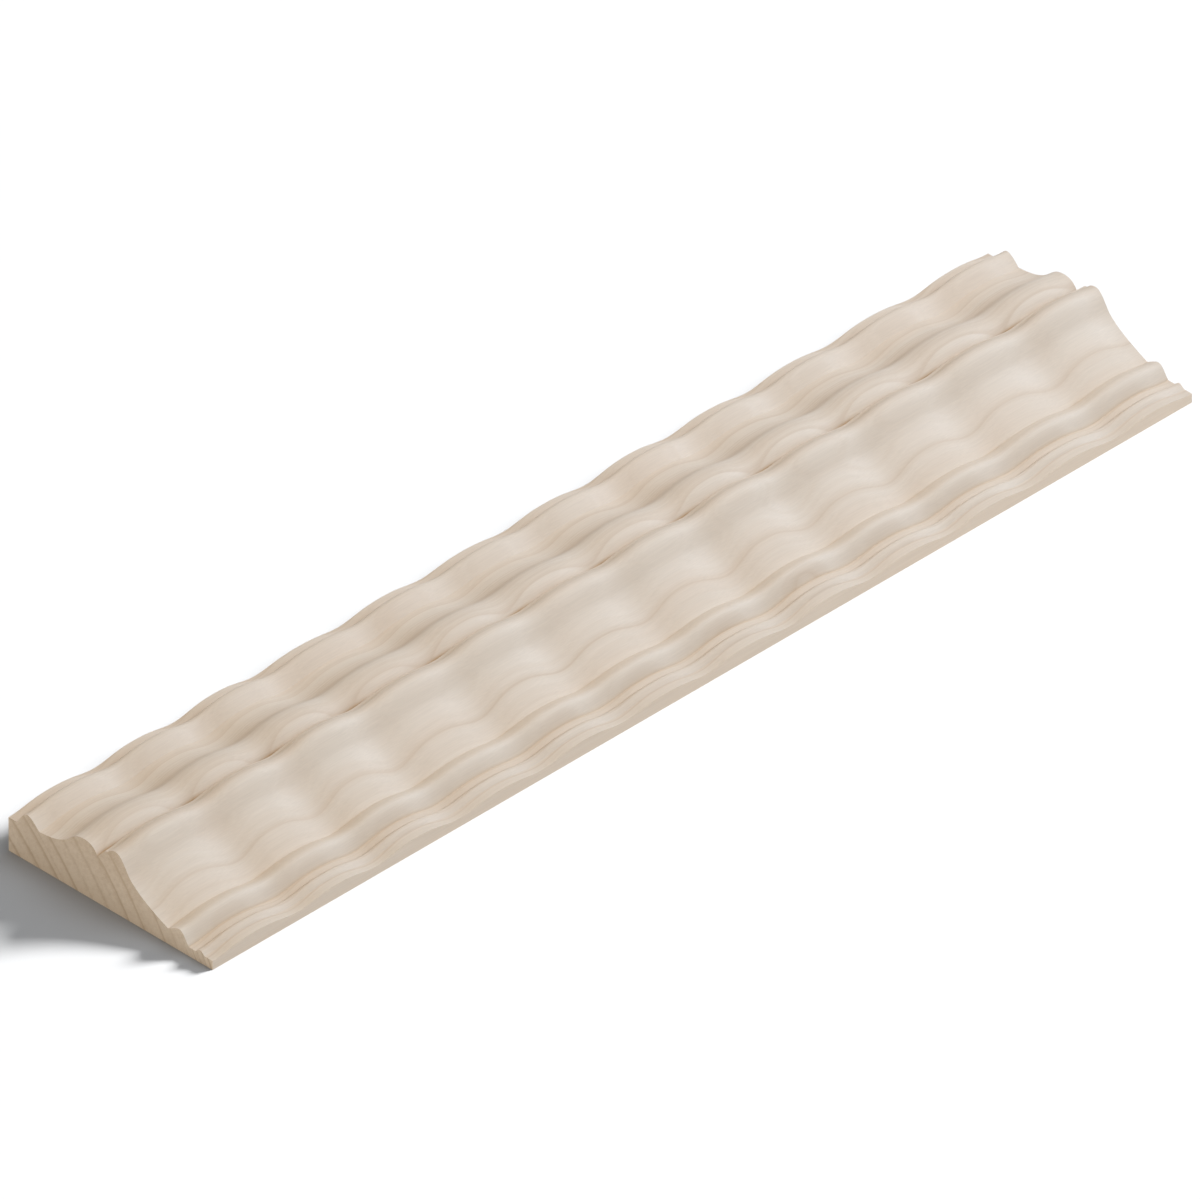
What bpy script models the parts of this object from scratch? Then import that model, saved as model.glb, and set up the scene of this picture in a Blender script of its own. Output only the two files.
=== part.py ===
"""Ripple moulding: a stick of unfinished wood whose whole face waves up and down along its length.

Run it in Blender 4.5, from the command line or the text editor. Sizes are metres, and +Z is up.
The stick lies on its flat back. +X runs along it, the thick edge is at +Y and the thin edge at -Y.
Its face is one moulded section, and the ripple lifts and lowers that section along the length.
"""

import math

import bpy
from mathutils import Vector

# Stock and ripple
WIDTH = 0.09525
THICK_EDGE = 0.0134
THIN_EDGE = 0.0036
RIPPLE_PITCH = 0.0381
RIPPLE_COUNT = 12
RIPPLE_DEPTH = 0.0020
LENGTH = RIPPLE_COUNT * RIPPLE_PITCH

# Members of the section, from the thick edge to the thin one: a run across the stick, then rises
BACK_FILLET_RUN = 0.0042
BACK_BEAD_RUN = 0.0102
BACK_BEAD_CROWN = 0.0053
BACK_BEAD_STEP = 0.0013
OGEE_RISE_RUN = 0.0209
OGEE_RISE = 0.0078
OGEE_FALL_RUN = 0.0063
QUIRK_RUN = 0.0035
QUIRK_DEPTH = 0.0039
LEDGE_RUN = 0.0016
LEDGE_RISE = 0.0003
NOSE_RISE_RUN = 0.0033
NOSE_RISE = 0.0018
NOSE_FALL_RUN = 0.0064
NOSE_FALL = 0.0070
FRONT_BEAD_RUN = 0.0097
FRONT_BEAD_CROWN = 0.0023
FRONT_BEAD_DROP = 0.0026
GROOVE_RUN = 0.0031
SMALL_BEAD_RUN = 0.0043
SMALL_BEAD_CROWN = 0.0014
FRONT_FILLET_RUN = 0.0037

# What the cutter left uneven, ripple by ripple: extra pitch, lift of the valley and of the crest
MILLIMETRE = 0.001
PITCH_DRIFT = (1.2, -1.6, -0.4, 0.8, 0.2, 0.2, 0.6, 0.1, -0.7, -0.3, 1.9, -2.0)
VALLEY_LIFT = (0.0, -0.1, -0.1, -0.2, 0.1, 0.3, 0.3, 0.1, 0.3, -0.1, 0.1, -0.2)
CREST_LIFT = (0.0, -0.1, 0.2, -0.4, 0.2, 0.0, 0.2, 0.5, 0.0, -0.1, 0.0, -0.3)

# Fineness of the mesh and broadness of the crests
STATIONS_PER_RIPPLE = 8
CREST_BROADNESS = 0.1345

WOOD_COLOUR = (0.66, 0.56, 0.46, 1.0)
WOOD_ROUGHNESS = 0.62


def clear_scene():
    for item in list(bpy.data.objects):
        bpy.data.objects.remove(item, do_unlink=True)


def bezier(start, first, second, end, pieces):
    """Points after the start of the cubic curve with these two handles."""
    points = []
    for number in range(1, pieces + 1):
        t = number / pieces
        s = 1 - t
        points.append(s**3 * start + 3 * s * s * t * first + 3 * s * t * t * second + t**3 * end)
    return points


def straight(pen, run, rise=0.0):
    return [pen + Vector((run, rise))]


def sweep(pen, run, rise, leave, arrive, pieces):
    """A hollow or swelling curve. Its handles at the two ends are shares of the run and the rise."""
    end = pen + Vector((run, rise))
    first = pen + Vector((leave[0] * run, leave[1] * rise))
    second = end - Vector((arrive[0] * run, arrive[1] * rise))
    return bezier(pen, first, second, end, pieces)


def bead(pen, run, crown, step, shoulders, pieces):
    """A bead that ends a step above the pen. Its shoulders are shares of the run, from each side."""
    end = pen + Vector((run, step))
    handle = (crown - step / 8) / 0.75
    first = pen + Vector((shoulders[0] * run, handle))
    second = pen + Vector(((1 - shoulders[1]) * run, handle))
    return bezier(pen, first, second, end, pieces)


def back_members():
    """The moulded line from the thick edge over the nose, as points across and up."""
    line = [Vector((0.0, THICK_EDGE))]
    line += straight(line[-1], BACK_FILLET_RUN)
    line += bead(line[-1], BACK_BEAD_RUN, BACK_BEAD_CROWN, BACK_BEAD_STEP, (0.39, 0.52), 8)
    line += sweep(line[-1], OGEE_RISE_RUN, OGEE_RISE, (0.77, 0.11), (0.37, 0.03), 7)
    line += sweep(line[-1], OGEE_FALL_RUN, -QUIRK_DEPTH, (0.58, 0.0), (0.18, 0.56), 4)
    line += straight(line[-1], QUIRK_RUN, QUIRK_DEPTH)
    line += straight(line[-1], LEDGE_RUN, LEDGE_RISE)
    line += sweep(line[-1], NOSE_RISE_RUN, NOSE_RISE, (0.03, 0.50), (0.40, 0.0), 3)
    line += sweep(line[-1], NOSE_FALL_RUN, -NOSE_FALL, (0.39, 0.0), (0.45, 0.65), 4)
    return line


def front_members():
    """The moulded line from the foot of the long cove to the thin edge, with its start at nought."""
    line = [Vector((0.0, 0.0))]
    line += bead(line[-1], FRONT_BEAD_RUN, FRONT_BEAD_CROWN, -FRONT_BEAD_DROP, (0.65, 0.41), 7)
    line += straight(line[-1], GROOVE_RUN)
    line += bead(line[-1], SMALL_BEAD_RUN, SMALL_BEAD_CROWN, 0.0, (0.48, 0.49), 4)
    line += straight(line[-1], FRONT_FILLET_RUN)
    return line


def section():
    """The whole moulded line. The long cove takes the run and the drop that the other members leave."""
    back = back_members()
    front = front_members()
    shift = Vector((WIDTH, THIN_EDGE)) - front[-1]
    front = [point + shift for point in front]
    run, rise = front[0] - back[-1]
    cove = sweep(back[-1], run, rise, (0.25, 0.47), (0.28, 0.21), 7)
    return back + cove[:-1] + front


def uneven(lifts, ripple):
    """What the cutter left at this ripple, in metres. A longer stick takes the list from its start again."""
    return lifts[ripple % len(lifts)] * MILLIMETRE


def valley_places():
    """Where the valleys lie along the stick, both ends included."""
    places = [0.0]
    for ripple in range(RIPPLE_COUNT):
        places.append(places[-1] + RIPPLE_PITCH + uneven(PITCH_DRIFT, ripple))
    return [place * LENGTH / places[-1] for place in places]


def stations():
    """Places along the stick, each with the lift that the ripple gives the section there."""
    valleys = valley_places()
    places = []
    for ripple in range(RIPPLE_COUNT):
        start = valleys[ripple]
        pitch = valleys[ripple + 1] - start
        before = uneven(VALLEY_LIFT, ripple)
        after = uneven(VALLEY_LIFT, ripple + 1)
        height = RIPPLE_DEPTH + uneven(CREST_LIFT, ripple) - (before + after) / 2
        for step in range(STATIONS_PER_RIPPLE):
            t = step / STATIONS_PER_RIPPLE
            wave = (1 - math.cos(2 * math.pi * t)) / 2
            wave += CREST_BROADNESS * (1 - math.cos(4 * math.pi * t)) / 2
            places.append((start + pitch * t, before + (after - before) * t + height * wave))
    places.append((LENGTH, uneven(VALLEY_LIFT, RIPPLE_COUNT)))
    return places


def moulding_mesh():
    """The closed stick: a waving face, two upright edges, two square ends and a flat back."""
    line = section()
    rows = stations()
    across = len(line)
    points = []
    for place, lift in rows:
        for point in line:
            points.append((place - LENGTH / 2, WIDTH / 2 - point.x, point.y + lift))
    corner = len(points)
    for x in (-LENGTH / 2, LENGTH / 2):
        for y in (WIDTH / 2, -WIDTH / 2):
            points.append((x, y, 0.0))
    faces = []
    for row in range(len(rows) - 1):
        for column in range(across - 1):
            first = row * across + column
            faces.append((first, first + 1, first + across + 1, first + across))
    last = (len(rows) - 1) * across
    thick = [row * across for row in range(len(rows))]
    thin = [row * across + across - 1 for row in range(len(rows))]
    faces.append([corner] + thick + [corner + 2])
    faces.append([corner + 3] + thin[::-1] + [corner + 1])
    faces.append([corner + 1] + list(range(across - 1, -1, -1)) + [corner])
    faces.append([corner + 2] + list(range(last, last + across)) + [corner + 3])
    faces.append((corner, corner + 2, corner + 3, corner + 1))
    mesh = bpy.data.meshes.new("ripple_moulding")
    mesh.from_pydata(points, [], faces)
    return mesh


def wood():
    """Pale unfinished wood."""
    material = bpy.data.materials.new("unfinished_wood")
    material.use_nodes = True
    shader = material.node_tree.nodes["Principled BSDF"]
    shader.inputs["Base Color"].default_value = WOOD_COLOUR
    shader.inputs["Roughness"].default_value = WOOD_ROUGHNESS
    shader.inputs["Metallic"].default_value = 0.0
    material.diffuse_color = WOOD_COLOUR
    return material


def moulding():
    """The one piece that the object is made of."""
    mesh = moulding_mesh()
    mesh.materials.append(wood())
    stick = bpy.data.objects.new("ripple_moulding", mesh)
    bpy.context.scene.collection.objects.link(stick)
    for face in mesh.polygons:
        face.use_smooth = face.normal.z > 0.1
    mesh.set_sharp_from_angle(angle=math.radians(35))
    return stick


clear_scene()
moulding()
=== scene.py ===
"""Looks of the ripple moulding: bare pale wood on a plain white floor, seen as the photograph shows it.

Sizes are metres. The stick runs along X, its thick edge is at +Y, and its flat back lies at Z = 0.
The section and the ripple are those of part.py, drawn here with finer steps.
"""

import math

import bpy
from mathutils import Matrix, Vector


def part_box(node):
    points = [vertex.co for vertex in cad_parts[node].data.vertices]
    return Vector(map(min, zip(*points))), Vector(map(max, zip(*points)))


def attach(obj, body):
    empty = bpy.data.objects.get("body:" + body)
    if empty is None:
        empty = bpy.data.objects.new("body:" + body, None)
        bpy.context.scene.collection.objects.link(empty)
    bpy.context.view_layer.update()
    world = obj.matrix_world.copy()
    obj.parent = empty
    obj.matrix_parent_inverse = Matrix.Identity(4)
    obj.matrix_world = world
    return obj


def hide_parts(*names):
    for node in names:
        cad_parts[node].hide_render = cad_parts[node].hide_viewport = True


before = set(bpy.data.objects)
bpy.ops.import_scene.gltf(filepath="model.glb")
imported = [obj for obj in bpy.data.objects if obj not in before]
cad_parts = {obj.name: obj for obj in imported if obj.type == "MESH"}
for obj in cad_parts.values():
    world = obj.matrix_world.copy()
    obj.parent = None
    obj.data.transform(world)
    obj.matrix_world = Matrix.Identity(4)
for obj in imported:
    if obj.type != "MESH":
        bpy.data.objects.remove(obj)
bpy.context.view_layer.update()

LOW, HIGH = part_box("ripple_moulding")
LENGTH = HIGH[0] - LOW[0]
WIDTH = HIGH[1] - LOW[1]

# Stock and ripple, as in part.py
THICK_EDGE = 0.0134
THIN_EDGE = 0.0036
RIPPLE_COUNT = 12
RIPPLE_DEPTH = 0.0020
CREST_BROADNESS = 0.1345

# Members of the section, from the thick edge to the thin one, as in part.py
BACK_FILLET_RUN = 0.0042
BACK_BEAD_RUN = 0.0102
BACK_BEAD_CROWN = 0.0053
BACK_BEAD_STEP = 0.0013
OGEE_RISE_RUN = 0.0209
OGEE_RISE = 0.0078
OGEE_FALL_RUN = 0.0063
QUIRK_RUN = 0.0035
QUIRK_DEPTH = 0.0039
LEDGE_RUN = 0.0016
LEDGE_RISE = 0.0003
NOSE_RISE_RUN = 0.0033
NOSE_RISE = 0.0018
NOSE_FALL_RUN = 0.0064
NOSE_FALL = 0.0070
FRONT_BEAD_RUN = 0.0097
FRONT_BEAD_CROWN = 0.0023
FRONT_BEAD_DROP = 0.0026
GROOVE_RUN = 0.0031
SMALL_BEAD_RUN = 0.0043
SMALL_BEAD_CROWN = 0.0014
FRONT_FILLET_RUN = 0.0037

# What the cutter left uneven, ripple by ripple: extra pitch, lift of the valley and of the crest
MILLIMETRE = 0.001
PITCH_DRIFT = (1.2, -1.6, -0.4, 0.8, 0.2, 0.2, 0.6, 0.1, -0.7, -0.3, 1.9, -2.0)
VALLEY_LIFT = (0.0, -0.1, -0.1, -0.2, 0.1, 0.3, 0.3, 0.1, 0.3, -0.1, 0.1, -0.2)
CREST_LIFT = (0.0, -0.1, 0.2, -0.4, 0.2, 0.0, 0.2, 0.5, 0.0, -0.1, 0.0, -0.3)
STATIONS_PER_RIPPLE = 40

# Growth rings: the pith lies behind and below the stick, and each ring ends in a dark line
PITH = Vector((0.0, WIDTH / 2 + 0.103, -0.102))

# Each line's distance from the pith in millimetres, how dark the line is and how dark the wood around it.
# Wood of the common shade is neither darkened nor lightened.
# The shades around the lines are partly the wood's own tone and partly painted light and shade, which
# lightens some members and darkens others beyond what the lamps give
RING_LINES = (
    (142.2, 0.8, 0.5), (148.8, 0.8, 0.5), (155.5, 0.8, 0.6), (162.5, 0.9, 1.15), (164.6, 0.3, 0.6),
    (169.2, 1.0, 0.35), (175.3, 0.3, 0.0), (181.2, 0.45, 0.3), (189.3, 0.9, 0.3), (191.3, 0.0, 0.0),
    (195.3, 0.8, 0.95), (198.8, 0.0, 0.6), (201.0, 0.0, 0.2), (203.4, 0.75, 0.55), (208.6, 0.3, 0.2),
    (213.2, 0.3, 0.0), (215.1, 0.3, 0.0), (216.1, 0.9, 0.6), (218.2, 0.4, 0.5), (220.5, 0.6, 0.5),
    (222.4, 1.1, 0.4), (228.6, 0.8, 0.1),
)
COMMON_SHADE = 0.4

# False rings, which show on the long grain alone: their distance from the pith in millimetres,
# half the width of each line, and how dark it is
FALSE_RINGS = (172.9, 174.1, 175.2, 176.5, 178.6)
FALSE_RING_REACH = 0.22
FALSE_RING_DEPTH = 0.45

# How far the rings stray: waves a metre along and across, and the reach in metres
RING_BENDS = ((5.0, 22.0, 0.0009), (16.0, 110.0, 0.0003))

# The rings swell a little around the foot of the quirk: its place, the reach and the swelling
QUIRK_ACROSS = BACK_FILLET_RUN + BACK_BEAD_RUN + OGEE_RISE_RUN + OGEE_FALL_RUN
QUIRK_HEIGHT = THICK_EDGE + BACK_BEAD_STEP + OGEE_RISE - QUIRK_DEPTH
QUIRK_FOOT = Vector((0.0, WIDTH / 2 - QUIRK_ACROSS, QUIRK_HEIGHT))
SWELL_REACH = 0.0030
SWELL_HEIGHT = 0.0008

# Streaks, broader bands and a rosy cast that follow the rings: waves a metre along and across the rings,
# how strong the bands are beside the streaks, and how tan the wood is without either
STREAK_WAVES = (3.0, 750.0)
BAND_WAVES = (5.0, 120.0)
CAST_WAVES = (14.0, 260.0)
BAND_SHARE = 0.5
BASE_TAN = 0.10

# Rosy cast: its level and gain, its share of the colour, and how strong the painted warm shade is on the
# rings of the ogee's rise, with their distance from the pith and their reach in metres
CAST_LEVEL = 0.1
CAST_GAIN = 1.4
ROSY_SHARE = 0.5
PAINTED_WARM_SHADE_CAST = 0.8
PAINTED_WARM_SHADE_PLACE = 0.1775
PAINTED_WARM_SHADE_REACH = 0.005

# Fibres of the long grain, blotches and pores of the end grain: waves a metre along the stick and across it
FIBRE_WAVES = (60.0, 2600.0)
BLOTCH_WAVES = (300.0, 650.0)
PORE_WAVES = (2200.0, 2200.0)

# Rays of the end grain: waves to a radian about the pith, and waves a metre away from it
RAY_WAVES = (900.0, 130.0)

# End grain: how tan rays and blotches make it, how much painted shade darkens it for each metre upward, how
# much darker it grows for each metre forward, the height and the place across the stick that these are
# counted from, and where and how fast pores turn brown
RAY_DEPTH = 0.55
BLOTCH_DEPTH = 1.10
PAINTED_SHADE_UPWARD = 28.0
DARKER_FORWARD = 2.2
PAINTED_SHADE_FROM_HEIGHT = 0.009
DARKER_FROM_ACROSS = 0.060
SPECK_LEVEL = 0.12
SPECK_GAIN = 3.0

# Finish of both cuts: contrast of the fine marks, roughness, sheen, and height of the relief
FINE_CONTRAST = 0.16
WOOD_ROUGHNESS = 0.56
ROUGHNESS_SPREAD = 0.2
WOOD_SHEEN = 0.2
RELIEF_HEIGHT = 0.0002

# Painted shade in the corners, a warm brown: how far it reaches, and the shares of a ripple's length where
# it is strongest and palest, each with its own reach
CORNER_SHADE_REACH = 0.0014
STRONGEST_BROWN = (0.09, 0.09)
PALEST_BROWN = (0.31, 0.07)

# Painted shade at the foot of the quirk, of the cove and of the front bead: its brown, then what the
# strongest place adds and what the palest one takes away
CORNER_BROWNS = ((0.32, 0.80, 0.28), (0.10, 0.25, 0.0), (0.40, 0.0, 0.0))

# Darkness through a ring, from one line to the next
LATE_WOOD = (
    (0.0, 1.0), (0.015, 0.60), (0.04, 0.12), (0.08, 0.0), (0.20, 0.0), (0.50, 0.12),
    (0.75, 0.27), (0.88, 0.42), (0.95, 0.70), (1.0, 1.0),
)
END_LATE_WOOD = (
    (0.0, 1.0), (0.07, 0.6), (0.13, 0.1), (0.30, 0.0), (0.75, 0.1), (0.90, 0.45), (1.0, 1.0),
)

# Colours of the long grain and the end grain, of the rosy cast, and of the painted corner shade and the
# pores
PALE = (0.658, 0.572, 0.473, 1.0)
TAN = (0.532, 0.415, 0.305, 1.0)
END_PALE = (0.650, 0.560, 0.455, 1.0)
END_TAN = (0.500, 0.400, 0.295, 1.0)
ROSY = (0.655, 0.527, 0.411, 1.0)
SHADE_AND_PORE_BROWN = (0.520, 0.365, 0.210, 1.0)

# Thin edge, painted light: its warm tint, how much paler it is painted for each metre towards the far end,
# and how thin a skin counts as the edge
EDGE_TINT = (1.013, 0.985, 0.960)
EDGE_PAINTED_LIGHT_GAIN = 0.36
EDGE_SKIN = 0.00002

# Photograph: seen in parallel from equal angles to X, Y and Z, which shortens all three alike. In its
# pixels: the stick's width, the whole picture's, and how far along X and Y its centre lies from the stick's
WIDTH_PIXELS = 235.4
PIXELS_PER_METRE = WIDTH_PIXELS / WIDTH
FRAME_PIXELS = 1200
CENTRE_PIXELS = (22.9, 27.3)
FORESHORTENING = math.sqrt(2 / 3)
LENS = 1600.0
SENSOR = 36.0

# Floor: half its width, and a white that the light brings up to the picture's own
FLOOR_REACH = 40.0
FLOOR_COLOUR = (0.449, 0.450, 0.453, 1.0)
FLOOR_ROUGHNESS = 0.9

# Key light: its rays travel as a shadow falls, so far along X and Y for each metre of height
KEY_TRAVEL = (-1.89, 0.70, -1.0)

# Lamp above the far end
FAR_LAMP_PLACE = (0.35, 0.0, 0.8)
FAR_LAMP_SIZE = 0.5
FAR_LAMP_POWER = 2.02
FAR_LAMP_COLOUR = (0.812, 1.0, 1.349)

# Even surround: how much it lights the objects, and how bright the camera sees it
SURROUND_LIGHT = 0.168
SURROUND_SEEN = 1.0


def bezier(start, first, second, end, pieces):
    """Points after the start of the cubic curve with these two handles."""
    points = []
    for number in range(1, pieces + 1):
        t = number / pieces
        s = 1 - t
        points.append(s**3 * start + 3 * s * s * t * first + 3 * s * t * t * second + t**3 * end)
    return points


def straight(pen, run, rise, pieces):
    return [pen + Vector((run, rise)) * (number / pieces) for number in range(1, pieces + 1)]


def sweep(pen, run, rise, leave, arrive, pieces):
    """A hollow or swelling curve. Its handles at the two ends are shares of the run and the rise."""
    end = pen + Vector((run, rise))
    first = pen + Vector((leave[0] * run, leave[1] * rise))
    second = end - Vector((arrive[0] * run, arrive[1] * rise))
    return bezier(pen, first, second, end, pieces)


def bead(pen, run, crown, step, shoulders, pieces):
    """A bead that ends a step above the pen. Its shoulders are shares of the run, from each side."""
    end = pen + Vector((run, step))
    handle = (crown - step / 8) / 0.75
    first = pen + Vector((shoulders[0] * run, handle))
    second = pen + Vector(((1 - shoulders[1]) * run, handle))
    return bezier(pen, first, second, end, pieces)


def back_members():
    """The moulded line from the thick edge over the nose, as points across and up."""
    line = [Vector((0.0, THICK_EDGE))]
    line += straight(line[-1], BACK_FILLET_RUN, 0.0, 4)
    line += bead(line[-1], BACK_BEAD_RUN, BACK_BEAD_CROWN, BACK_BEAD_STEP, (0.39, 0.52), 22)
    line += sweep(line[-1], OGEE_RISE_RUN, OGEE_RISE, (0.77, 0.11), (0.37, 0.03), 22)
    line += sweep(line[-1], OGEE_FALL_RUN, -QUIRK_DEPTH, (0.58, 0.0), (0.18, 0.56), 12)
    line += straight(line[-1], QUIRK_RUN, QUIRK_DEPTH, 6)
    line += straight(line[-1], LEDGE_RUN, LEDGE_RISE, 2)
    line += sweep(line[-1], NOSE_RISE_RUN, NOSE_RISE, (0.03, 0.50), (0.40, 0.0), 8)
    line += sweep(line[-1], NOSE_FALL_RUN, -NOSE_FALL, (0.39, 0.0), (0.45, 0.65), 14)
    return line


def front_members():
    """The moulded line from the foot of the long cove to the thin edge, with its start at nought."""
    line = [Vector((0.0, 0.0))]
    line += bead(line[-1], FRONT_BEAD_RUN, FRONT_BEAD_CROWN, -FRONT_BEAD_DROP, (0.65, 0.41), 20)
    line += straight(line[-1], GROOVE_RUN, 0.0, 3)
    line += bead(line[-1], SMALL_BEAD_RUN, SMALL_BEAD_CROWN, 0.0, (0.48, 0.49), 12)
    line += straight(line[-1], FRONT_FILLET_RUN, 0.0, 3)
    return line


def section():
    """The whole moulded line. The long cove takes the run and the drop that the other members leave."""
    back = back_members()
    front = front_members()
    shift = Vector((WIDTH, THIN_EDGE)) - front[-1]
    front = [point + shift for point in front]
    run, rise = front[0] - back[-1]
    cove = sweep(back[-1], run, rise, (0.25, 0.47), (0.28, 0.21), 26)
    return back + cove[:-1] + front


def uneven(lifts, ripple):
    """What the cutter left at this ripple, in metres."""
    return lifts[ripple % len(lifts)] * MILLIMETRE


def valley_places():
    """Where the valleys lie along the stick, both ends included."""
    pitch = LENGTH / RIPPLE_COUNT
    places = [0.0]
    for ripple in range(RIPPLE_COUNT):
        places.append(places[-1] + pitch + uneven(PITCH_DRIFT, ripple))
    return [place * LENGTH / places[-1] for place in places]


def stations():
    """Places along the stick, each with the lift that the ripple gives the section there."""
    valleys = valley_places()
    places = []
    for ripple in range(RIPPLE_COUNT):
        start = valleys[ripple]
        pitch = valleys[ripple + 1] - start
        before = uneven(VALLEY_LIFT, ripple)
        after = uneven(VALLEY_LIFT, ripple + 1)
        height = RIPPLE_DEPTH + uneven(CREST_LIFT, ripple) - (before + after) / 2
        for step in range(STATIONS_PER_RIPPLE):
            t = step / STATIONS_PER_RIPPLE
            wave = (1 - math.cos(2 * math.pi * t)) / 2
            wave += CREST_BROADNESS * (1 - math.cos(4 * math.pi * t)) / 2
            places.append((start + pitch * t, before + (after - before) * t + height * wave))
    places.append((LENGTH, uneven(VALLEY_LIFT, RIPPLE_COUNT)))
    return places


def stick_mesh():
    """The closed stick: a waving face, two upright edges, two square ends and a flat back."""
    line = section()
    rows = stations()
    across = len(line)
    points = []
    for place, lift in rows:
        for point in line:
            points.append((LOW[0] + place, HIGH[1] - point.x, point.y + lift))
    corner = len(points)
    for x in (LOW[0], HIGH[0]):
        for y in (HIGH[1], LOW[1]):
            points.append((x, y, 0.0))
    faces = []
    for row in range(len(rows) - 1):
        for column in range(across - 1):
            first = row * across + column
            faces.append((first, first + 1, first + across + 1, first + across))
    last = (len(rows) - 1) * across
    thick = [row * across for row in range(len(rows))]
    thin = [row * across + across - 1 for row in range(len(rows))]
    faces.append([corner] + thick + [corner + 2])
    faces.append([corner + 3] + thin[::-1] + [corner + 1])
    faces.append((corner, corner + 2, corner + 3, corner + 1))
    faces.append([corner + 1] + list(range(across - 1, -1, -1)) + [corner])
    faces.append([corner + 2] + list(range(last, last + across)) + [corner + 3])
    mesh = bpy.data.meshes.new("moulding_stick")
    mesh.from_pydata(points, [], faces)
    # Painted shade for the corners' feet, kept as a value on each point
    mark_painted_corner_shade(mesh, line)
    return mesh


class Graph:
    """Short forms for a material's nodes. A value may be a number, a vector or another node's output."""

    def __init__(self, material):
        material.use_nodes = True
        self.tree = material.node_tree
        self.shader = self.tree.nodes["Principled BSDF"]

    def add(self, kind, values, **settings):
        node = self.tree.nodes.new("ShaderNode" + kind)
        for name, setting in settings.items():
            setattr(node, name, setting)
        for name, value in values.items():
            self.set(node.inputs[name], value)
        return node

    def set(self, socket, value):
        if isinstance(value, bpy.types.NodeSocket):
            self.tree.links.new(value, socket)
        else:
            socket.default_value = value

    def math(self, operation, first, second=0.0):
        return self.add("Math", {0: first, 1: second}, operation=operation).outputs[0]

    def vector(self, x, y, z):
        return self.add("CombineXYZ", {0: x, 1: y, 2: z}).outputs[0]

    def noise(self, place, detail, roughness=0.5):
        """Smooth noise about nought, some 0.3 either way."""
        values = {"Vector": place, "Scale": 1.0, "Detail": detail, "Roughness": roughness}
        return self.math("SUBTRACT", self.add("TexNoise", values).outputs["Fac"], 0.5)

    def ramp(self, factor, stops):
        """Values that run straight from stop to stop. The first stop is at 0 and the last at 1."""
        node = self.add("ValToRGB", {"Fac": factor})
        ramp = node.color_ramp
        for place, value in stops[1:-1]:
            ramp.elements.new(place)
        for element, (place, value) in zip(ramp.elements, stops):
            element.position = place
            element.color = (value, value, value, 1.0)
        return node.outputs["Color"]

    def mix(self, factor, first, second, blend="MIX"):
        node = self.add("Mix", {}, data_type="RGBA", blend_type=blend)
        self.set(node.inputs["Factor"], factor)
        self.set(node.inputs[6], first)
        self.set(node.inputs[7], second)
        return node.outputs[2]


def scaled(graph, value, factor):
    return graph.math("MULTIPLY", value, factor)


def stretched(graph, place, along, across):
    """A place scaled by one factor along the stick and by another across it."""
    x, y, z = place
    return graph.vector(scaled(graph, x, along), scaled(graph, y, across), scaled(graph, z, across))


def along_rings(graph, place, radius, along, across):
    """A place along the stick and across the rings, scaled by two factors."""
    return graph.vector(scaled(graph, place[0], along), scaled(graph, radius, across), 0.0)


def distance_from(graph, place, point):
    """Distance from the line that runs along the stick through this point."""
    across = graph.math("SUBTRACT", place[1], point.y)
    up = graph.math("SUBTRACT", place[2], point.z)
    return graph.add("VectorMath", {0: graph.vector(0.0, across, up)}, operation="LENGTH").outputs["Value"]


def ring_radius(graph, place):
    """Distance from the pith, with the rings' own bends and their swelling at the quirk."""
    radius = distance_from(graph, place, PITH)
    for along, across, reach in RING_BENDS:
        bend = graph.noise(stretched(graph, place, along, across), 2.0)
        radius = graph.math("ADD", radius, scaled(graph, bend, reach))
    away = graph.math("DIVIDE", distance_from(graph, place, QUIRK_FOOT), SWELL_REACH)
    fade = graph.math("ADD", graph.math("POWER", away, 2.0), 1.0)
    return graph.math("ADD", radius, graph.math("DIVIDE", SWELL_HEIGHT, fade))


def late_wood(graph, radius, profile, evenness):
    """Darkness over the common shade. Evenness 1 makes the wood between all the lines alike."""
    first = RING_LINES[0][0] * MILLIMETRE
    spread = RING_LINES[-1][0] * MILLIMETRE - first
    last = len(RING_LINES) - 1
    share = graph.math("DIVIDE", graph.math("SUBTRACT", radius, first), spread)
    places = [(line * MILLIMETRE - first) / spread for line, depth, shade in RING_LINES]
    count = graph.ramp(share, [(place, number / last) for number, place in enumerate(places)])
    phase = graph.math("FRACT", scaled(graph, count, float(last)))
    depth = graph.ramp(share, list(zip(places, [depth for line, depth, shade in RING_LINES])))
    shades = [shade + (COMMON_SHADE - shade) * evenness for line, depth, shade in RING_LINES]
    shade = graph.ramp(share, list(zip(places, shades)))
    lines = graph.math("MULTIPLY", graph.ramp(phase, profile), depth)
    return graph.math("ADD", lines, graph.math("SUBTRACT", shade, COMMON_SHADE))


def grain(graph, place, radius, profile, evenness, line_depth, streak_depth):
    """How tan the rings and streaks make the wood, and the streaks by themselves."""
    streaks = graph.noise(along_rings(graph, place, radius, *STREAK_WAVES), 3.0, 0.6)
    bands = graph.noise(along_rings(graph, place, radius, *BAND_WAVES), 2.0)
    amount = scaled(graph, late_wood(graph, radius, profile, evenness), line_depth)
    amount = graph.math("ADD", amount, scaled(graph, streaks, streak_depth))
    amount = graph.math("ADD", amount, scaled(graph, bands, streak_depth * BAND_SHARE))
    return graph.math("MAXIMUM", graph.math("ADD", amount, BASE_TAN), 0.0), streaks


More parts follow.
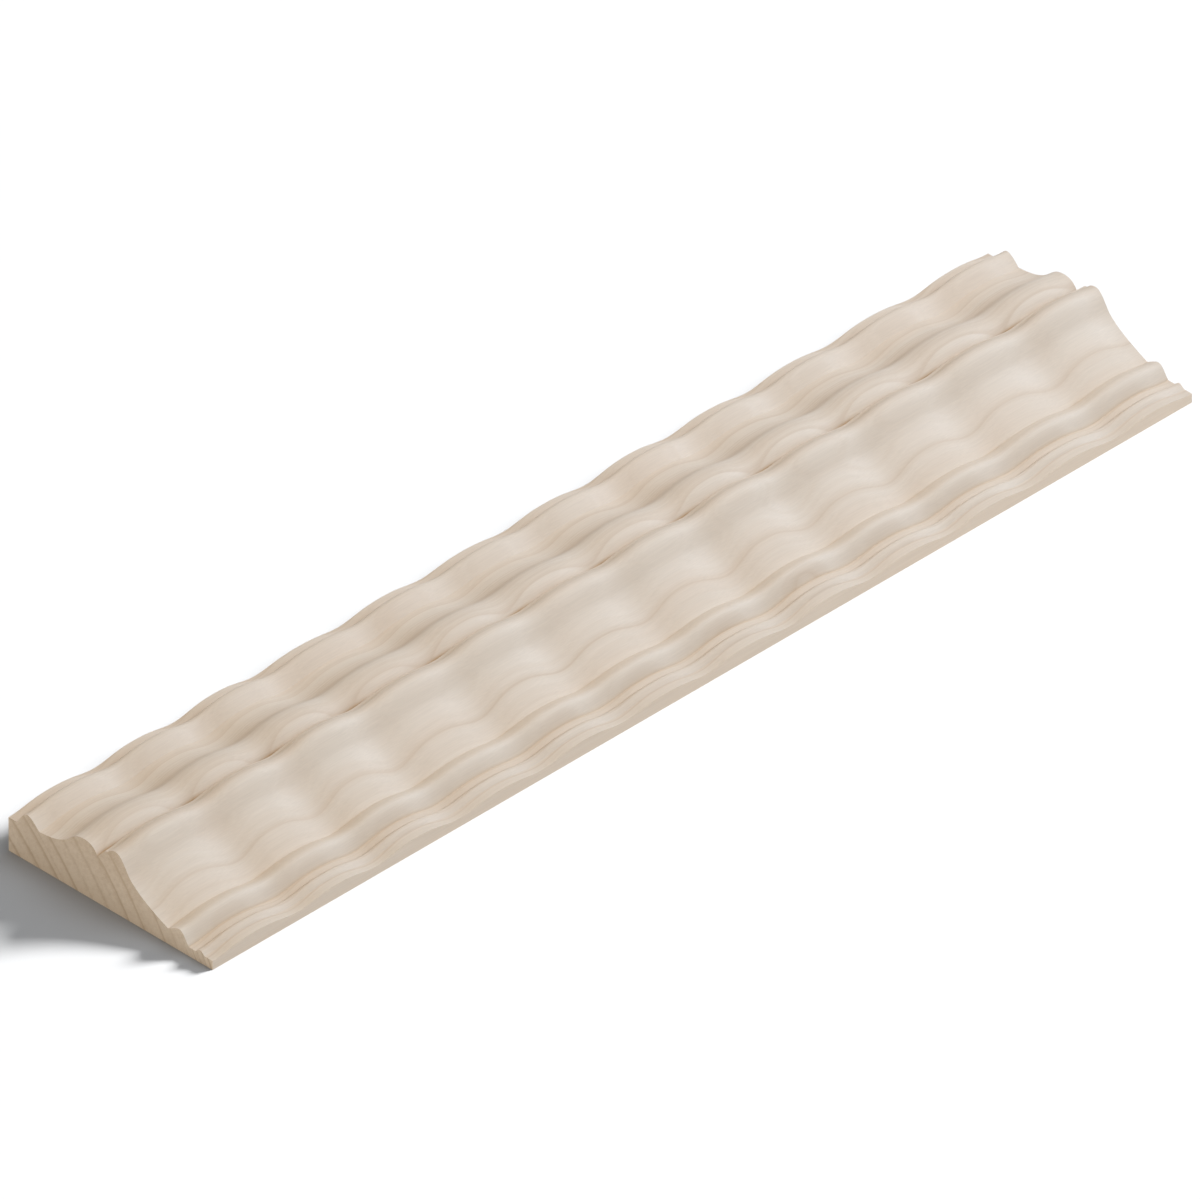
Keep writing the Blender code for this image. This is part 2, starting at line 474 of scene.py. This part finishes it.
def nearness(graph, radius, middle, reach):
    """1 on the ring at this distance from the pith, falling to 0 at its reach."""
    away = graph.math("ABSOLUTE", graph.math("SUBTRACT", radius, middle))
    return graph.math("MAXIMUM", graph.math("SUBTRACT", 1.0, graph.math("DIVIDE", away, reach)), 0.0)


def false_rings(graph, radius):
    """Darkness of the thin lines between the rings."""
    amount = 0.0
    for place in FALSE_RINGS:
        near = nearness(graph, radius, place * MILLIMETRE, FALSE_RING_REACH * MILLIMETRE)
        amount = graph.math("ADD", amount, scaled(graph, near, FALSE_RING_DEPTH))
    return amount


def rosy_cast(graph, place, radius, colour):
    """The colour, with a rosy cast here and there and painted warm shade on the rings of the ogee's rise.
    """
    cast = graph.noise(along_rings(graph, place, radius, *CAST_WAVES), 2.0)
    cast = graph.math("MAXIMUM", scaled(graph, graph.math("ADD", cast, CAST_LEVEL), CAST_GAIN), 0.0)
    # Painted warm shade: the rings of the ogee's rise are cast rosier
    painted_warm_shade = nearness(graph, radius, PAINTED_WARM_SHADE_PLACE, PAINTED_WARM_SHADE_REACH)
    cast = graph.math("ADD", cast, scaled(graph, painted_warm_shade, PAINTED_WARM_SHADE_CAST))
    return graph.mix(cast, colour, graph.mix(ROSY_SHARE, colour, ROSY))


def finish_wood(graph, colour, fine, streaks, relief):
    """Fine light and dark marks, a matt surface and the slightest relief."""
    shade = graph.math("ADD", 1.0, scaled(graph, fine, FINE_CONTRAST))
    colour = graph.mix(1.0, colour, graph.vector(shade, shade, shade), "MULTIPLY")
    roughness = graph.math("ADD", WOOD_ROUGHNESS, scaled(graph, streaks, ROUGHNESS_SPREAD))
    bump = graph.add("Bump", {"Height": fine, "Strength": relief, "Distance": RELIEF_HEIGHT})
    graph.set(graph.shader.inputs["Base Color"], colour)
    graph.set(graph.shader.inputs["Roughness"], roughness)
    graph.set(graph.shader.inputs["Specular IOR Level"], WOOD_SHEEN)
    graph.set(graph.shader.inputs["Normal"], bump.outputs["Normal"])


def thin_edge_painted_light(graph, place, colour):
    """The colour, with painted light on the thin edge's face: a warmer tint, and paler towards the far end.
    """
    on_edge = graph.math("GREATER_THAN", scaled(graph, place[1], -1.0), WIDTH / 2 - EDGE_SKIN)
    far_end_painted_light = graph.math("ADD", 1.0, scaled(graph, place[0], EDGE_PAINTED_LIGHT_GAIN))
    tint = graph.vector(*[scaled(graph, far_end_painted_light, channel) for channel in EDGE_TINT])
    return graph.mix(on_edge, colour, graph.mix(1.0, colour, tint, "MULTIPLY"))


def long_grain():
    """The cut along the grain: soft ring lines and streaks, a rosy cast here and there, painted shade in
    the corners.
    """
    material = bpy.data.materials.new("long_grain")
    graph = Graph(material)
    place = graph.add("SeparateXYZ", {0: graph.add("TexCoord", {}).outputs["Object"]}).outputs
    radius = ring_radius(graph, place)
    amount, streaks = grain(
        graph, place, radius, LATE_WOOD, evenness=0.0, line_depth=0.50, streak_depth=0.80
    )
    amount = graph.math("ADD", amount, false_rings(graph, radius))
    colour = rosy_cast(graph, place, radius, graph.mix(amount, PALE, TAN))
    # Painted shade: the corners' feet are mixed towards brown, most just past each valley
    painted_corner_shade = graph.add("Attribute", {}, attribute_name="painted_corner_shade").outputs["Fac"]
    colour = graph.mix(painted_corner_shade, colour, SHADE_AND_PORE_BROWN)
    # Painted light: the thin edge is tinted warmer and painted paler towards the far end
    colour = thin_edge_painted_light(graph, place, colour)
    fibres = graph.noise(stretched(graph, place, *FIBRE_WAVES), 2.0, 0.6)
    finish_wood(graph, colour, fibres, streaks, relief=0.10)
    return material


def ray_noise(graph, place, radius):
    """Fine streaks that run straight away from the pith."""
    rise = graph.math("SUBTRACT", place[2], PITH.z)
    run = graph.math("SUBTRACT", place[1], PITH.y)
    turn = graph.math("ARCTAN2", rise, run)
    about, outward = RAY_WAVES
    return graph.noise(graph.vector(scaled(graph, turn, about), scaled(graph, radius, outward), 0.0), 2.0)


def end_grain():
    """The cut across the grain: crisp ring lines, rays from the pith, pores and soft blotches."""
    material = bpy.data.materials.new("end_grain")
    graph = Graph(material)
    place = graph.add("SeparateXYZ", {0: graph.add("TexCoord", {}).outputs["Object"]}).outputs
    radius = ring_radius(graph, place)
    amount, streaks = grain(
        graph, place, radius, END_LATE_WOOD, evenness=0.85, line_depth=1.25, streak_depth=0.15
    )
    rays = ray_noise(graph, place, radius)
    blotches = graph.noise(stretched(graph, place, *BLOTCH_WAVES), 3.0)
    pores = graph.noise(stretched(graph, place, *PORE_WAVES), 1.0)
    # Painted shade: the end face grows darker upward; it also grows darker towards the front
    upward = graph.math("SUBTRACT", place[2], PAINTED_SHADE_FROM_HEIGHT)
    forward = graph.math("SUBTRACT", DARKER_FROM_ACROSS, place[1])
    parts = ((rays, RAY_DEPTH), (blotches, BLOTCH_DEPTH), (upward, PAINTED_SHADE_UPWARD), (forward, DARKER_FORWARD))
    for part, depth in parts:
        amount = graph.math("ADD", amount, scaled(graph, part, depth))
    colour = graph.mix(graph.math("MAXIMUM", amount, 0.0), END_PALE, END_TAN)
    specks = scaled(graph, graph.math("SUBTRACT", pores, SPECK_LEVEL), SPECK_GAIN)
    colour = graph.mix(graph.math("MAXIMUM", specks, 0.0), colour, SHADE_AND_PORE_BROWN)
    finish_wood(graph, colour, pores, streaks, relief=0.15)
    return material


def hump(value, middle, reach):
    """1 at the middle, falling smoothly to about a third at the reach."""
    return math.exp(-(((value - middle) / reach) ** 2))


def corner_feet(line):
    """The section's points at the foot of the quirk, of the cove and of the front bead."""
    groove = WIDTH - GROOVE_RUN - SMALL_BEAD_RUN - FRONT_FILLET_RUN
    cove = groove - FRONT_BEAD_RUN
    return [min(line, key=lambda point: abs(point.x - place)) for place in (QUIRK_ACROSS, cove, groove)]


def mark_painted_corner_shade(mesh, line):
    """Mark each point of the face with how much painted shade its corner gets, from 0 up."""
    marks = mesh.attributes.new("painted_corner_shade", "FLOAT", "POINT")
    feet = corner_feet(line)
    for station in range(RIPPLE_COUNT * STATIONS_PER_RIPPLE + 1):
        share = station / STATIONS_PER_RIPPLE % 1
        strongest = hump(share, *STRONGEST_BROWN)
        palest = hump(share, *PALEST_BROWN)
        browns = [brown + more * strongest - less * palest for brown, more, less in CORNER_BROWNS]
        for number, point in enumerate(line):
            mark = 0.0
            for foot, brown in zip(feet, browns):
                mark += brown * max(0.0, 1.0 - (point - foot).length / CORNER_SHADE_REACH) ** 2
            marks.data[station * len(line) + number].value = mark


def moulding_stick():
    """The one piece that the object is made of."""
    mesh = stick_mesh()
    mesh.materials.append(long_grain())
    mesh.materials.append(end_grain())
    for face in mesh.polygons:
        face.use_smooth = face.normal.z > 0.1
        face.material_index = int(abs(face.normal.x) > 0.9)
    mesh.set_sharp_from_angle(angle=math.radians(35))
    stick = bpy.data.objects.new("moulding_stick", mesh)
    bpy.context.scene.collection.objects.link(stick)
    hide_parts("ripple_moulding")
    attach(stick, "root")
    return stick


def floor():
    """A large plain white floor."""
    far = FLOOR_REACH
    mesh = bpy.data.meshes.new("floor")
    mesh.from_pydata([(-far, -far, 0), (far, -far, 0), (far, far, 0), (-far, far, 0)], [], [(0, 1, 2, 3)])
    material = bpy.data.materials.new("floor")
    graph = Graph(material)
    graph.set(graph.shader.inputs["Base Color"], FLOOR_COLOUR)
    graph.set(graph.shader.inputs["Roughness"], FLOOR_ROUGHNESS)
    graph.set(graph.shader.inputs["Specular IOR Level"], 0.0)
    mesh.materials.append(material)
    plane = bpy.data.objects.new("floor", mesh)
    bpy.context.scene.collection.objects.link(plane)
    return plane


def light_only(lamp, lit):
    """Let the lamp light this object alone."""
    group = bpy.data.collections.new(lamp.name + "_receivers")
    group.objects.link(lit)
    lamp.light_linking.receiver_collection = group


def sun(name, lit, travel, strength, softness, colour):
    """A distant light whose rays travel this way and light one object. Its softness is in degrees."""
    light = bpy.data.lights.new(name, "SUN")
    light.energy = strength
    light.angle = math.radians(softness)
    light.color = colour
    lamp = bpy.data.objects.new(name, light)
    lamp.rotation_euler = Vector(travel).to_track_quat("-Z", "Y").to_euler()
    bpy.context.scene.collection.objects.link(lamp)
    light_only(lamp, lit)


def far_lamp(stick):
    """A soft lamp above the far end, which brightens the stick towards that end."""
    light = bpy.data.lights.new("far_lamp", "AREA")
    light.energy = FAR_LAMP_POWER
    light.size = FAR_LAMP_SIZE
    light.color = FAR_LAMP_COLOUR
    lamp = bpy.data.objects.new("far_lamp", light)
    lamp.location = FAR_LAMP_PLACE
    bpy.context.scene.collection.objects.link(lamp)
    light_only(lamp, stick)


def surround():
    """An even white world, brighter to the camera than to the objects in it."""
    world = bpy.data.worlds.new("surround")
    world.use_nodes = True
    tree = world.node_tree
    background = tree.nodes["Background"]
    background.inputs["Color"].default_value = (1.0, 1.0, 1.0, 1.0)
    path = tree.nodes.new("ShaderNodeLightPath")
    level = tree.nodes.new("ShaderNodeMapRange")
    level.inputs["To Min"].default_value = SURROUND_LIGHT
    level.inputs["To Max"].default_value = SURROUND_SEEN
    tree.links.new(path.outputs["Is Camera Ray"], level.inputs["Value"])
    tree.links.new(level.outputs["Result"], background.inputs["Strength"])
    bpy.context.scene.world = world


def studio_light(stick, plane):
    """A soft key from beyond the far end, stronger on the floor, with fill lights and an even surround."""
    sun("key", stick, KEY_TRAVEL, strength=2.256, softness=16, colour=(0.867, 1.0, 1.191))
    sun("floor_key", plane, KEY_TRAVEL, strength=11.7, softness=17, colour=(1.0, 1.0, 1.0))
    sun("floor_fill", plane, (-0.5, 0.5, -1.7), strength=1.49, softness=60, colour=(0.97, 1.0, 1.03))
    sun("top", stick, (0.0, 0.0, -1.0), strength=0.567, softness=90, colour=(1.243, 1.0, 0.619))
    sun("fill", stick, (1.0, 0.0, -0.5), strength=1.146, softness=90, colour=(1.162, 1.0, 0.812))
    far_lamp(stick)
    surround()


def camera():
    """A very long lens, since the photograph is a parallel view from equal angles to the three axes."""
    target = Vector((*CENTRE_PIXELS, 0.0)) / PIXELS_PER_METRE
    across = FRAME_PIXELS / PIXELS_PER_METRE * FORESHORTENING
    back = Vector((-1.0, -1.0, 1.0)).normalized()
    data = bpy.data.cameras.new("camera")
    data.sensor_width = SENSOR
    data.lens = LENS
    distance = across * LENS / SENSOR
    data.clip_start = distance / 10
    data.clip_end = distance * 10
    lens = bpy.data.objects.new("camera", data)
    lens.location = target + back * distance
    lens.rotation_euler = (-back).to_track_quat("-Z", "Y").to_euler()
    bpy.context.scene.collection.objects.link(lens)
    bpy.context.scene.camera = lens


studio_light(moulding_stick(), floor())
camera()
bpy.context.scene.view_settings.view_transform = "Standard"
